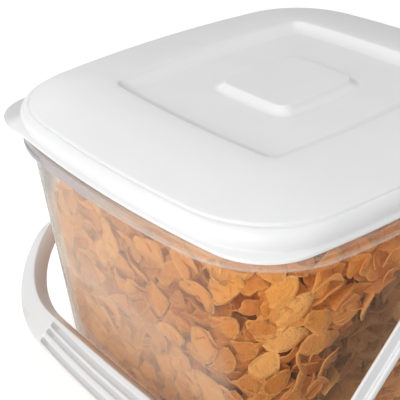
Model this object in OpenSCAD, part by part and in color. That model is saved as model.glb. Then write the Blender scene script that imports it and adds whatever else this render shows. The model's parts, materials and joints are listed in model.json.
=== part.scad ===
// Rectangular food keeper: an open tub with a press-on lid and a swing-down bail handle.
// Millimetres. The origin is under the middle of the tub, on the surface that it stands on.
// X runs between the two handle pivots, and the handle hangs on the -Y side.

/* [Tub] */
// Height of the rim shelf that the lid comes down to
seat_h = 205; // [185:1:230]
// Thickness of the tub wall
wall_t = 2.2; // [1.8:0.1:2.8]
// Thickness of the tub floor
floor_t = 2.6; // [2:0.1:4]
// Slope of the tub walls, in degrees from upright
draft = 6.0; // [4.5:0.1:6.5]
// Depth of the down-turned collar round the rim
collar_h = 8.5; // [7:0.5:9.5]
// Radius of the rounded bottom edge
foot_r = 10; // [7:1:13]

/* [Lid] */
// Overall width of the lid skirt, along X
lid_w = 251; // [235:1:270]
// Overall depth of the lid skirt, along Y
lid_d = 291; // [275:1:310]
// Height of the lid from its lower edge to the step at the panel
skirt_h = 15.5; // [14.5:0.5:19]
// Thickness of the lid
lid_t = 2.0; // [1.6:0.1:2.4]
// Rise of the crowned panel from its edge to the recess
crown_h = 7.0; // [5:0.5:9]
// How far the peel tab stands out past the corner
tab_out = 8.8; // [7:0.2:11]

/* [Lid recess and stacking boss] */
// Width of the sunk panel at its upper edge, along X
recess_w = 143; // [130:1:155]
// Depth of the sunk panel at its upper edge, along Y
recess_d = 172; // [158:1:185]
// How far the panel is sunk
recess_h = 5.2; // [4:0.2:6]
// Width of the raised boss at its foot, along X
boss_w = 61; // [50:1:70]
// Depth of the raised boss at its foot, along Y
boss_d = 73; // [60:1:84]
// Height of the raised boss
boss_h = 4.1; // [3:0.1:5]

/* [Handle] */
// Width of the grip across its grooved face
grip_w = 23; // [19:1:25]
// Depth of the handle from its front face to its back
handle_t = 14.6; // [13:0.2:16]
// Width of each arm, along X
arm_w = 5.3; // [5:0.1:7]
// Gap between each arm and the lid skirt
arm_gap = 6.6; // [6:0.2:10]
// Height of the pivots below the lid skirt
pivot_drop = 21.6; // [20:0.2:24]
// Hang of the handle, in degrees below level
hang = 43.2; // [41:0.2:46]
// Diameter of the pivot pins
pin_d = 8; // [6:0.5:9]
// Diameter of the lugs that take the pins
lug_d = 17; // [15:0.5:19]

/* [Hidden] */
bow_r = 665;                     // radius of the gently bowed sides
lid_x = lid_w / 2;
lid_y = lid_d / 2;
seat = seat_h;                   // level of the lid's lower edge
// The tub's outlines are all parallel to this one
rim_x = lid_x + 2.3;
rim_y = lid_y + 1.2;
rim_rc = 64;                     // corner radius of the collar
rim_bow = 560;                   // side radius of the collar
shelf_gap = 0.8;                 // air between the collar and the lid's lower edge
rim_in = 7.3;                    // rim's outer face, in from the collar
rim_t = 2.8;                     // thickness of the rim
rim_h = 10.2;                    // rim's height above the lid's lower edge
wall_in = 7.1;                   // wall's outer face at the collar, in from the collar
wall_rcd = 11;                   // how much tighter the wall's corners are
wall_bow = 650;                  // side radius of the wall
collar_t = 2.0;                  // thickness of the collar's skirt
collar_lip = 2.8;                // height of the lip at each collar corner
collar_cut = 1.1;                // how far the collar is thinned above that lip
plug_gap = 0.5;                  // air between the rim and the lid's plug
plug_t = 1.7;
pin_r = pin_d / 2;
pin_gap = 0.05;                  // running clearance round each pin
pin_len = 10;
arm_in = lid_x + arm_gap;        // inner face of each arm
arm_out = arm_in + arm_w;
lug_gap = 0.4;                   // air between each lug and its arm
lug_x = arm_in - lug_gap;
pivot_z = seat - pivot_drop;
rest_gap = 0.5;                  // air between the resting grip and the tub wall
rest_in = rim_y - wall_in - tan(draft) * (pivot_drop - 2.8 + handle_t / 2 * cos(hang));
// From the pivots to the grip's inner edge
grip_in = (rest_in + handle_t / 2 * sin(hang) + rest_gap) / (cos(hang) + tan(draft) * sin(hang));
handle_len = grip_in + grip_w;   // from the pivots to the grip's outer edge
inner_rc = 48.4;                   // inner corner radius of the handle
outer_rc = 64.3;                   // outer corner radius of the handle
grip_bow = 900;                  // radius of the grip's outer edge
web_t = 2.0;                     // thickness of the handle's inner wall and its grip's shell
face_t = 2.6;                    // thickness of the grip's grooved face
flange_t = 4.9;                  // depth of the arms' outer flange, at the back of the handle
ramp_0 = 104;                    // where the flange starts to rise to the front face
ramp_1 = 140;                    // where it reaches the front face
groove_w = 3.2;
groove_d = 1.2;
groove_x = 75.5;                   // half-length of each groove
side_n = 5;                      // steps along half of each side
corner_n = 10;                   // steps round each corner

// Centre of the corner arc of a bowed rectangle
function corner_at(a, b, rc, r) =
    let (x0 = a - r, y0 = b - r, d = norm([x0, y0]))
    let (h = sqrt(pow(r - rc, 2) - d * d / 4))
    [x0 / 2 - h * y0 / d, y0 / 2 - h * x0 / d];

// One quarter of a bowed rectangle, from +X round to +Y
function quarter(a, b, rc, r) =
    let (k = corner_at(a, b, rc, r))
    let (t0 = atan2(k[1], k[0] - (a - r)), t1 = atan2(k[1] - (b - r), k[0]))
    concat(
        [for (i = [0 : side_n - 1]) let (t = t0 * i / side_n)
            [a - r + r * cos(t), r * sin(t)]],
        [for (i = [0 : corner_n - 1]) let (t = t0 + (t1 - t0) * i / corner_n)
            [k[0] + rc * cos(t), k[1] + rc * sin(t)]],
        [for (i = [0 : side_n]) let (t = t1 + (90 - t1) * i / side_n)
            [r * cos(t), b - r + r * sin(t)]]
    );

// The whole bowed rectangle, anticlockwise
function ring2(a, b, rc, r) =
    let (q = quarter(a, b, rc, r), m = len(q) - 1)
    concat(
        [for (i = [0 : m - 1]) q[i]],
        [for (i = [m : -1 : 1]) [-q[i][0], q[i][1]]],
        [for (i = [0 : m - 1]) [-q[i][0], -q[i][1]]],
        [for (i = [m : -1 : 1]) [q[i][0], -q[i][1]]]
    );

// How far the peel tab pushes a point out, by its bearing from the tab's corner
tab_mid = 202;
tab_span = 75;
function tab_push(p, k) =
    let (t = atan2(p[1] + k[1], p[0] + k[0]), u = t < 0 ? t + 360 : t)
    abs(u - tab_mid) < tab_span && p[0] < 0 && p[1] < 0
        ? tab_out * (1 + cos(180 * (u - tab_mid) / tab_span)) / 2 : 0;

// Is a point on one of the four corner arcs?
function on_corner(p, k) = abs(p[0]) > k[0] && abs(p[1]) > k[1];

// A ring of points at height z: s[5] is 1 to add the peel tab, s[6] thins the corners
function ring3(s) =
    let (p = ring2(s[0], s[1], s[2], s[3]), k = corner_at(s[0], s[1], s[2], s[3]))
    [for (q = p)
        let (c = on_corner(q, k) ? s[6] : 0)
        let (e = [q[0] - sign(q[0]) * k[0], q[1] - sign(q[1]) * k[1]])
        let (f = c > 0 ? 1 - c / norm(e) : 1)
        let (w = [q[0] - e[0] * (1 - f), q[1] - e[1] * (1 - f)])
        let (d = s[5] * tab_push(w, k), v = [w[0] + k[0], w[1] + k[1]])
        [w[0] + d * v[0] / norm(v), w[1] + d * v[1] / norm(v), s[4]]];

// A closed solid through a list of rings, capped at both ends
module skin(list) {
    rings = [for (s = list) ring3(s)];
    n = len(rings[0]);
    m = len(rings);
    pts = [for (r = rings) for (p = r) p];
    sides = [for (j = [0 : m - 2]) for (i = [0 : n - 1]) for (h = [0, 1])
        h == 0 ? [j * n + i, (j + 1) * n + (i + 1) % n, (j + 1) * n + i]
               : [j * n + i, j * n + (i + 1) % n, (j + 1) * n + (i + 1) % n]];
    first = [for (i = [n - 1 : -1 : 0]) i];
    last = [for (i = [0 : n - 1]) (m - 1) * n + i];
    polyhedron(points = pts, faces = concat([last], sides, [first]), convexity = 6);
}

// Lid sections, each [half width, half depth, corner radius, side radius, height, tab, thinning]
panel_x = lid_x - 6.2;           // edge of the crowned panel
panel_y = lid_y - 6.2;
panel_rc = 56;
panel_z = seat + skirt_h;
reces_x = recess_w / 2;
reces_y = recess_d / 2;
top_z = panel_z + crown_h;
floor_z = top_z - recess_h;
crown_n = 7;
// A ring of the crowned panel: u is 0 at the recess and 1 at the panel's edge
function crown(u, drop) =
    [reces_x + 1.6 + (panel_x - reces_x - 1.6) * u, reces_y + 1.6 + (panel_y - reces_y - 1.6) * u,
     9 + (panel_rc - 9) * u, bow_r, panel_z + crown_h * (1 - pow(u, 1.7)) - drop, 0, 0];
// A ring set in from the boss or the recess, i outward, at height z
function boss(i, z) = [boss_w / 2 + i, boss_d / 2 + i, 6.5 + i * 0.6, bow_r, z, 0, 0];
function reces(i, z) = [reces_x + i, reces_y + i, 8 + i * 0.4, bow_r, z, 0, 0];
// A ring of the skirt: i in from its edge, at height z above it
function skirt(i, rc, z, tab) = [lid_x - i, lid_y - i, rc, bow_r, seat + z, tab, 0];
// A ring parallel to the tub's rim, i in from the collar
function rimring(i, z) = [rim_x - i, rim_y - i, rim_rc - i, rim_bow - i, z, 0, 0];
plug_in = rim_in + rim_t + plug_gap;
ceil_z = seat + skirt_h - 3.1;   // underside of the lid over the rim
under = floor_z - lid_t;
plug_u = 0.86;                   // where the plug meets the panel's underside

lid_sections = concat(
    [
        boss(-4.4, floor_z + boss_h), boss(-3.2, floor_z + boss_h - 0.2),
        boss(-2.2, floor_z + boss_h - 0.9), boss(-1.1, floor_z + boss_h * 0.42),
        boss(0, floor_z + 0.4), boss(1.4, floor_z),
        reces(-10.4, floor_z), reces(-8.6, floor_z + 0.2), reces(-6.6, floor_z + recess_h * 0.22),
        reces(-3.2, floor_z + recess_h * 0.62), reces(-1, floor_z + recess_h * 0.88)
    ],
    [for (j = [0 : crown_n]) crown(j / crown_n, j == 0 ? 0.1 : 0)],
    [
        skirt(5.4, 56.6, skirt_h - 0.35, 0), skirt(5.05, 57, skirt_h - 1.1, 0),
        skirt(4.2, 57, skirt_h - 1.3, 0), skirt(2.9, 56.4, skirt_h - 2, 0),
        skirt(1.7, 55.4, skirt_h - 3.6, 0), skirt(1.0, 54.4, skirt_h - 6, 0),
        skirt(0.7, 52.6, 4.8, 0), skirt(0.6, 48, 3.4, 0), skirt(0.4, 42, 2.4, 0),
        skirt(0, 38.5, 1.7, 1), skirt(0, 38.5, 0.3, 1), skirt(0.3, 38.5, 0, 1),
        skirt(2.6, 51, 0, 0), skirt(2.7, 52.4, 3, 0), skirt(2.9, 53.4, skirt_h - 6, 0),
        skirt(3.9, 55, skirt_h - 3.9, 0)
    ],
    [
        rimring(rim_in + 0.6, ceil_z), rimring(plug_in - 0.3, ceil_z), rimring(plug_in, ceil_z - 0.6),
        rimring(plug_in, seat + 3.4), rimring(plug_in + 0.5, seat + 2.6),
        rimring(plug_in + plug_t - 0.3, seat + 2.6), rimring(plug_in + plug_t, seat + 3.2),
        rimring(plug_in + plug_t, ceil_z + 0.2)
    ],
    [for (j = [4 : -1 : 0]) crown(plug_u * j / 4, lid_t + (j == 0 ? 0.2 : 0))],
    [
        reces(-1.8, top_z - lid_t - 0.9), reces(-4.4, floor_z + recess_h * 0.5 - lid_t + 0.2),
        reces(-8.4, under + 0.2), reces(-10.6, under),
        boss(0.2, under), boss(-1.8, under + 0.4), boss(-3.4, under + boss_h * 0.62),
        boss(-5.2, under + boss_h - 0.1)
    ]
);

module lid() {
    color([0.93, 0.93, 0.92]) skin(lid_sections);
}

// Tub sections: i in from the collar, height z, cut thins the collar at its corners
function tubring(i, z, cut) =
    [rim_x - i, rim_y - i, rim_rc - i, rim_bow - i, z, 0, cut];
// The wall's own corners are tighter than the collar's
function wallring(i, z) =
    [rim_x - i, rim_y - i, rim_rc - wall_rcd - i, wall_bow - i, z, 0, 0];
function wall_at(z) = wall_in + (seat - 2.8 - z) * tan(draft);
foot_n = 5;
lip_z = seat - collar_h + collar_lip;

tub_sections = concat(
    [
        wallring(wall_at(floor_t) + wall_t + 8, floor_t),
        wallring(wall_at(floor_t + 0.7) + wall_t + 4, floor_t + 0.7),
        wallring(wall_at(floor_t + 3) + wall_t + 1.2, floor_t + 3),
        wallring(wall_at(floor_t + 7) + wall_t, floor_t + 7),
        wallring(wall_at(seat - 4.6) + wall_t, seat - 4.6),
        tubring(rim_in + rim_t, seat - 0.6, 0),
        tubring(rim_in + rim_t, seat + rim_h - 0.8, 0),
        tubring(rim_in + rim_t - 0.8, seat + rim_h, 0),
        tubring(rim_in + 0.8, seat + rim_h, 0),
        tubring(rim_in, seat + rim_h - 0.8, 0),
        tubring(rim_in, seat - shelf_gap, 0),
        tubring(0.7, seat - shelf_gap, collar_cut),
        tubring(0, seat - shelf_gap - 0.7, collar_cut),
        tubring(0, lip_z + 0.6, collar_cut),
        tubring(0, lip_z, 0),
        tubring(0, seat - collar_h, 0),
        tubring(collar_t, seat - collar_h, 0),
        tubring(collar_t, seat - 2.8, 0),
        wallring(wall_in, seat - 2.8)
    ],
    [for (i = [foot_n : -1 : 0]) let (t = 90 * i / foot_n)
        wallring(wall_at(foot_r) + foot_r * (1 - sin(t)), foot_r * (1 - cos(t)))]
);

module lug(side) {
    x0 = rim_x - wall_at(pivot_z) - 1;
    difference() {
        translate([side > 0 ? x0 : -lug_x, 0, pivot_z])
            rotate([0, 90, 0])
                cylinder(h = lug_x - x0, d = lug_d, $fn = 64);
        translate([side > 0 ? lug_x - pin_len - 1 : -lug_x - 1, 0, pivot_z])
            rotate([0, 90, 0])
                cylinder(h = pin_len + 2, r = pin_r + pin_gap, $fn = 48);
    }
}

module tub() {
    color([0.86, 0.83, 0.8, 0.45]) union() {
        skin(tub_sections);
        lug(1);
        lug(-1);
    }
}

// Handle outline in its own plane: X across, Y away from the pivots
function arc(cx, cy, r, t0, t1, n) =
    [for (i = [0 : n]) let (t = t0 + (t1 - t0) * i / n) [cx + r * cos(t), cy + r * sin(t)]];
// A bowed U, half width a, reaching y, corner radius rc, end radius r, closed across the pivots
function u_shape(a, y, rc, r) =
    let (cy0 = y - r, cx = a - rc, cy = cy0 + sqrt(pow(r - rc, 2) - cx * cx))
    let (t = atan2(cy - cy0, cx))
    let (p = concat([[a, 0]], arc(cx, cy, rc, 0, t, 14), arc(0, cy0, r, t, 90, 6)))
    concat(p, [for (i = [len(p) - 2 : -1 : 0]) [-p[i][0], p[i][1]]]);
// A U-shaped slab between two such outlines, h deep
module u_slab(inset_in, inset_out, h) {
    difference() {
        linear_extrude(h)
            polygon(u_shape(arm_out - inset_out, handle_len - inset_out, outer_rc - inset_out,
                grip_bow));
        translate([0, -0.01, -1])
            linear_extrude(h + 2)
                polygon(u_shape(arm_in + inset_in, grip_in + inset_in, inner_rc + inset_in, 2500));
    }
}
// A prism across the handle, from a profile of [distance from the pivots, depth] points
module across(profile) {
    rotate([90, 0, 90])
        translate([0, 0, -arm_out - 1])
            linear_extrude(2 * arm_out + 2)
                polygon(profile);
}

module groove(y, r) {
    t = asin(groove_x / r);
    translate([0, y - r, -1]) {
        rotate_extrude(angle = 2 * t, start = 90 - t, $fn = 360)
            translate([r - groove_w / 2, 0])
                square([groove_w, groove_d + 1]);
        for (s = [-1, 1])
            rotate([0, 0, s * t])
                translate([0, r, 0])
                    cylinder(h = groove_d + 1, d = groove_w - 0.2, $fn = 24);
    }
}

// The handle lies with its front face at z = 0 and its back at z = handle_t
module handle() {
    far = handle_len + 5;
    back = handle_t + 1;
    flange_z = handle_t - flange_t;
    slope = flange_z / (ramp_1 - ramp_0);
    hollow_0 = ramp_0 + 8;
    eye_r = lug_d / 2 + 1;
    color([0.92, 0.92, 0.91])
    translate([0, 0, pivot_z])
    rotate([180 + hang, 0, 0])
    translate([0, 0, -handle_t / 2])
    difference() {
        union() {
            // Inner wall, full depth all round
            difference() {
                u_slab(0, arm_w - web_t, handle_t);
                across([[ramp_1 + 8, -1], [far, -1], [far, back], [ramp_1 + 8, back]]);
            }
            // Outer flange, rising to the front face, and the hollow shell of the grip
            difference() {
                u_slab(0, 0, handle_t);
                across([[-1, -1], [ramp_1, -1], [ramp_1, 0], [ramp_0, flange_z], [-1, flange_z]]);
                intersection() {
                    translate([0, 0, -1])
                        u_slab(web_t, web_t, back + 1);
                    across([[hollow_0, flange_z + face_t - slope * (hollow_0 - ramp_0)],
                        [ramp_1, face_t], [far, face_t], [far, back], [hollow_0, back]]);
                }
            }
            for (s = [-1, 1]) {
                translate([s > 0 ? arm_in : -arm_out, 0, handle_t / 2])
                    rotate([0, 90, 0])
                        cylinder(h = arm_w, r = eye_r, $fn = 64);
                translate([s > 0 ? lug_x - pin_len : -arm_in - 1, 0, handle_t / 2])
                    rotate([0, 90, 0])
                        cylinder(h = arm_in - lug_x + pin_len + 1, r = pin_r, $fn = 48);
            }
        }
        groove(grip_in + grip_w * 0.27, 1000);
        groove(grip_in + grip_w * 0.57, 850);
        groove(grip_in + grip_w * 0.855, 780);
    }
}

tub();
lid();
handle();
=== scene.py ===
import json
import math
import random

import bmesh
import bpy
import numpy as np
from bpy.props import FloatProperty, FloatVectorProperty, IntProperty, PointerProperty
from mathutils import Matrix, Vector, noise

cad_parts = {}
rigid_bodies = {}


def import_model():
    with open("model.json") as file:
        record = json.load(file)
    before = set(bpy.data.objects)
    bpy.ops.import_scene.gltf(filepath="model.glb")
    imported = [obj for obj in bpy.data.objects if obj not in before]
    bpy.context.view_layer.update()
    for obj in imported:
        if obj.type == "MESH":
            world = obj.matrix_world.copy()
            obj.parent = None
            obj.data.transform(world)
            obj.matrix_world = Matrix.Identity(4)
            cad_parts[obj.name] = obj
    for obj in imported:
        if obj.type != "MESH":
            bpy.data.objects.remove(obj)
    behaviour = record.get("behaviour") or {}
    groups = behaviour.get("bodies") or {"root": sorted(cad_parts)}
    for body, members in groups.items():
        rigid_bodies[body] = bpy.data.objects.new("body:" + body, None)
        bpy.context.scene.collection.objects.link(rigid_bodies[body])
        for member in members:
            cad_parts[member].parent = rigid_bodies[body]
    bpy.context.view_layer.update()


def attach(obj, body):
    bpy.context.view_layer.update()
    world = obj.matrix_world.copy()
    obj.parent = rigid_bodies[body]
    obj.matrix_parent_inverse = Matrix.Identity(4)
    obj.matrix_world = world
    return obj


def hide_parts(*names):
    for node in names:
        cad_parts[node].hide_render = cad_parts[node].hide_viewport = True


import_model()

bl_info = {
    "name": "Food keeper",
    "version": (1, 0, 0),
    "blender": (4, 5, 0),
    "location": "View3D > Sidebar > Keeper",
    "description": "Builds a rectangular food keeper with its lid, bail handle and cereal",
    "category": "Add Mesh",
}

MM = 0.001
TINY = 1e-6
FULL_TURN = 2 * math.pi

# Sizes in millimetres, the same ones as the part's source
SEAT = 205.0                            # level of the lid's lower edge
BOW = 665.0                             # radius of the lid's bowed sides
# Lid
LID_X, LID_Y = 251 / 2, 291 / 2
SKIRT_H, LID_T, CROWN_H, TAB_OUT = 15.5, 2.0, 7.0, 8.8
RECESS_X, RECESS_Y, RECESS_H = 143 / 2, 172 / 2, 5.2
BOSS_X, BOSS_Y, BOSS_H = 61 / 2, 73 / 2, 4.1
TAB_MID, TAB_SPAN = 202.0, 75.0         # bearings of the peel tab, in degrees
PANEL_IN, PANEL_RC = 6.2, 56.0          # edge of the crowned panel, in from the skirt
RECESS_EDGE, RECESS_EDGE_RC = 1.6, 9.0  # inner edge of the crowned panel, out from the recess
CROWN_POWER = 1.7
CEILING_DROP = 3.1                      # underside of the lid over the rim, below the panel's edge
# Tub: what ends in IN is measured in from the collar
RIM_X, RIM_Y, RIM_RC, RIM_BOW = LID_X + 2.3, LID_Y + 1.2, 64.0, 560.0
RIM_IN, RIM_T, RIM_H = 7.3, 2.8, 10.2
WALL_IN, WALL_T, FLOOR_T, WALL_RCD, WALL_BOW = 7.1, 2.2, 2.6, 11.0, 650.0
DRAFT = math.tan(math.radians(6.0))
COLLAR_H, COLLAR_T, COLLAR_LIP, COLLAR_CUT, SHELF_GAP = 8.5, 2.0, 2.8, 1.1, 0.8
LIP_Z = SEAT - COLLAR_H + COLLAR_LIP
WALL_TOP = SEAT - 2.8
FOOT_R, FOOT_N = 10.0, 6
PLUG_IN, PLUG_T = RIM_IN + RIM_T + 0.5, 1.7
# Handle
HANG = math.radians(43.2)
HANDLE_T, ARM_W, GRIP_W = 14.6, 5.3, 23.0
PIVOT_DROP = 21.6
PIVOT_Z = SEAT - PIVOT_DROP
ARM_IN = LID_X + 6.6
ARM_OUT = ARM_IN + ARM_W
LUG_X, LUG_R, PIN_R, PIN_LEN, PIN_GAP = ARM_IN - 0.4, 8.5, 4.0, 10.0, 0.05
INNER_RC, OUTER_RC, INNER_BOW, GRIP_BOW = 48.4, 64.3, 2500.0, 900.0
FLANGE_T, FACE_T, SHELL_T = 4.9, 2.6, 2.0
RAMP_0, RAMP_1, HOLLOW_0, HOLLOW_RUN = 104.0, 140.0, 8.0, 4.0
REST_GAP = 0.5
REST_IN = RIM_Y - WALL_IN - DRAFT * (PIVOT_DROP - 2.8 + HANDLE_T / 2 * math.cos(HANG))
GRIP_IN = ((REST_IN + HANDLE_T / 2 * math.sin(HANG) + REST_GAP)
           / (math.cos(HANG) + DRAFT * math.sin(HANG)))
HANDLE_LEN = GRIP_IN + GRIP_W
# Each groove's place across the grip as a share of its width, radius and half width
GROOVES = ((0.271, 1000.0, 2.2), (0.524, 870.0, 1.75), (0.845, 785.0, 1.85))
GROOVE_END = 77.1                       # half the length of the grooves
# Where the painted shade in the grooves starts to deepen towards their ends, and over what run
GROOVE_FADE, GROOVE_FADE_RUN = 68.5, 2.5
# Where the handle's cross-sections stand closer, to round the ends of the grooves
GROOVE_STOPS = [68.5, 69.5, 70.5, 71.5, 74.8, 75.3, 75.8, 76.2, 76.5, 76.75, 76.95, 77.1, 77.6]

# Steps round each outline, turned part and handle path
SIDE_N, CORNER_N, TURNED_N = 16, 30, 56
ARM_N, GRIP_N, INNER_ARC_N, OUTER_ARC_N = 40, 40, 48, 96

# Cereal
BED_HEIGHTS = [14, 34, 54, 74, 94, 114, 134, 154, 174, 194]     # rings up its side, in millimetres
BED_SHARES = (0.8, 0.55, 0.3, 0.12)     # rings of the top surface, as shares of its edge
FLAKE_KINDS, FLAKE_SIDES, FLAKE_SEED = 9, 14, 100
FLAKE_SCALES = (0.6, 1.25)              # smallest and largest, as shares of the middling size
# Each layer's name, inset from the wall, drop from the top, depth in metres, tilt, spacing and painted shade
FLAKE_LAYERS = (
    ("flakes_outer", 1.6, 2.5, 0.002, 0.36, 1.45, 1.0),
    ("flakes_middle", 5.2, 5.5, 0.003, 0.85, 1.0, 0.9),
    ("flakes_inner", 10.0, 10.0, 0.002, 0.9, 1.0, 0.76),
)
MASS_INSET = 13.0
WALL_MARGIN, WALL_GIVE = 0.2, 0.7       # least gap to the wall, and how softly flakes ease off it

# Camera and stage, in metres
CAMERA_PLACE = (0.321087, -0.363892, 0.431711)
CAMERA_AIM = (-0.633390, 0.575533, -0.517280)
SENSOR_MM, FOCAL_PIXELS, FRAME_PIXELS = 36.0, 849.76, 400
LAMP_AIM = (0, 0, 0.15)
FLOOR_N, FLOOR_HALF, FLOOR_Z = 24, 12.0, -0.0004


# ---------------------------------------------------------------- settings

def colour_setting(name, description, default):
    return FloatVectorProperty(name=name, description=description, subtype="COLOR", size=3, min=0, max=1,
                               default=default)


def power_setting(name, description, default):
    return FloatProperty(name=name, description=description, subtype="POWER", default=default, min=0, max=200)


class KeeperLid(bpy.types.PropertyGroup):
    colour: colour_setting("Lid colour", "Colour of the lid's plastic", (0.80, 0.80, 0.803))
    fillet: FloatProperty(name="Edge rounding", description="Radius of the lid's small edges, in millimetres",
                          default=0.8, min=0.1, max=2)


class KeeperTub(bpy.types.PropertyGroup):
    colour: colour_setting("Tub haze", "Colour of the haze in the tub's plastic", (0.80, 0.63, 0.46))
    haze: FloatProperty(name="Haze", description="How much of what lies behind each face is veiled",
                        subtype="FACTOR", default=0.028, min=0, max=1)
    fillet: FloatProperty(name="Edge rounding", description="Radius of the tub's small edges, in millimetres",
                          default=0.7, min=0.1, max=2)


class KeeperHandle(bpy.types.PropertyGroup):
    colour: colour_setting("Handle colour", "Colour of the handle's plastic", (0.80, 0.80, 0.803))
    groove: FloatProperty(name="Groove depth", description="Depth of the grip's grooves, in millimetres",
                          default=1.2, min=0, max=2)


class KeeperCereal(bpy.types.PropertyGroup):
    level: FloatProperty(name="Fill level", description="Height of the cereal, in millimetres",
                         default=196, min=60, max=203)
    spacing: FloatProperty(name="Flake spacing", description="Least distance between flakes",
                           subtype="DISTANCE", unit="LENGTH", default=0.0104, min=0.004, max=0.02)
    size: FloatProperty(name="Flake size", description="Radius of a middling flake", subtype="DISTANCE",
                        unit="LENGTH", default=0.0090, min=0.003, max=0.015)
    seed: IntProperty(name="Seed", description="Another arrangement of the flakes", default=7, min=0)
    light: colour_setting("Pale flakes", "Colour of the palest flakes", (0.71, 0.29, 0.050))
    toasted: colour_setting("Toasted flakes", "Colour of the darkest flakes", (0.49, 0.152, 0.022))


class KeeperStage(bpy.types.PropertyGroup):
    key: power_setting("Key light", "Power of the main lamp, in front", 15.8)
    fill: power_setting("Fill light", "Power of the high lamp on the left in front", 2.0)
    top: power_setting("Top light", "Power of the lamp overhead", 6.8)
    left: power_setting("Left light", "Power of the lamp on the left", 4.0)
    right: power_setting("Right light", "Power of the high lamp on the right", 0.8)
    sky: FloatProperty(name="Sky", description="Strength of the even light all round", default=0.25, min=0,
                       max=3)


# ---------------------------------------------------------------- outlines and meshes

def smooth(t):
    """0 up to t = 0, 1 from t = 1, and an easy curve between."""
    t = min(1.0, max(0.0, t))
    return t * t * (3 - 2 * t)


def corner_at(a, b, rc, r):
    """Centre of the corner arc of a rectangle with bowed sides."""
    x0, y0 = a - r, b - r
    d = math.hypot(x0, y0)
    h = math.sqrt((r - rc) ** 2 - d * d / 4)
    return x0 / 2 - h * y0 / d, y0 / 2 - h * x0 / d


def outline(a, b, rc, r):
    """The outline of a rectangle with bowed sides and round corners, and the corner's centre."""
    kx, ky = corner_at(a, b, rc, r)
    t0, t1 = math.atan2(ky, kx - (a - r)), math.atan2(ky - (b - r), kx)
    s = np.linspace(0, t0, SIDE_N, endpoint=False)
    c = np.linspace(t0, t1, CORNER_N, endpoint=False)
    e = np.linspace(t1, math.pi / 2, SIDE_N + 1)
    q = np.vstack([np.c_[a - r + r * np.cos(s), r * np.sin(s)],
                   np.c_[kx + rc * np.cos(c), ky + rc * np.sin(c)],
                   np.c_[r * np.cos(e), b - r + r * np.sin(e)]])
    back = q[::-1]
    return np.vstack([q[:-1], back[:-1] * (-1, 1), -q[:-1], back[:-1] * (1, -1)]), (kx, ky)


def section_ring(section):
    """A ring of points in metres, from its half sizes, radii, height, tab share and corner thinning."""
    a, b, rc, r, z, tab, cut = section
    p, k = outline(a, b, rc, r)
    k = np.array(k)
    if cut > TINY:
        e = p - np.sign(p) * k
        on = (np.abs(p) > k).all(axis=1)
        p = p - np.where(on, cut, 0)[:, None] * e / np.maximum(np.linalg.norm(e, axis=1), 1e-9)[:, None]
    if tab > TINY:
        v = p + k
        t = np.degrees(np.arctan2(v[:, 1], v[:, 0])) % 360
        off = np.abs(t - TAB_MID) / TAB_SPAN
        on = (off < 1) & (p[:, 0] < 0) & (p[:, 1] < 0)
        push = np.where(on, tab * TAB_OUT * (1 + np.cos(math.pi * np.minimum(off, 1))) / 2, 0)
        p = p + push[:, None] * v / np.linalg.norm(v, axis=1)[:, None]
    return np.c_[p, np.full(len(p), z)] * MM


def rounded(sections, radius):
    """Sections with each bend of their profile eased to a small curve."""
    s = np.array(sections, float)
    out = [s[0]]
    for p0, p1, p2 in zip(s, s[1:], s[2:]):
        l0 = math.hypot(p1[0] - p0[0], p1[4] - p0[4])
        l1 = math.hypot(p2[0] - p1[0], p2[4] - p1[4])
        a = p1 + (p0 - p1) * min(0.46, radius / max(l0, TINY))
        b = p1 + (p2 - p1) * min(0.46, radius / max(l1, TINY))
        out += [a, (a + 2 * p1 + b) / 4, b]
    return out + [s[-1]]


def mesh_from(bm, name):
    """The finished mesh of a bmesh."""
    mesh = bpy.data.meshes.new(name)
    bm.to_mesh(mesh)
    bm.free()
    return mesh


def in_scene(name, data):
    """A new object of the scene with this mesh, lamp or camera."""
    obj = bpy.data.objects.new(name, data)
    bpy.context.scene.collection.objects.link(obj)
    return obj


def shade_smooth(mesh):
    """Every face of the mesh blends into its neighbours."""
    for face in mesh.polygons:
        face.use_smooth = True


def new_piece(name, bm, body, nodes, material):
    """A finished piece: normals out, smooth, on its body, standing for its CAD nodes."""
    bmesh.ops.recalc_face_normals(bm, faces=bm.faces)
    mesh = mesh_from(bm, name)
    mesh.materials.append(material)
    shade_smooth(mesh)
    obj = in_scene(name, mesh)
    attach(obj, body)
    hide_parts(*nodes)


def loft(bm, rings):
    """Closed loops of equal length joined one to the next, with a face over each end."""
    rows = [[bm.verts.new(p) for p in r] for r in rings]
    n = len(rows[0])
    for a, b in zip(rows, rows[1:]):
        for i in range(n):
            j = (i + 1) % n
            bm.faces.new((a[i], a[j], b[j], b[i]))
    bm.faces.new(rows[0])
    bm.faces.new(rows[-1][::-1])


def turned(bm, profile, side):
    """A closed solid turned about the pivots' axis from [x, radius] points that start and end on it."""
    rows = []
    for x, r in profile:
        if r < TINY:
            rows.append([bm.verts.new((side * x * MM, 0, PIVOT_Z * MM))])
            continue
        row = []
        for i in range(TURNED_N):
            t = FULL_TURN * i / TURNED_N
            place = (side * x * MM, r * math.cos(t) * MM, (PIVOT_Z + r * math.sin(t)) * MM)
            row.append(bm.verts.new(place))
        rows.append(row)
    for a, b in zip(rows, rows[1:]):
        for i in range(TURNED_N):
            j = (i + 1) % TURNED_N
            four = [a[i % len(a)], a[j % len(a)], b[j % len(b)], b[i % len(b)]]
            bm.faces.new(list(dict.fromkeys(four)))


# ---------------------------------------------------------------- node trees

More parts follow.
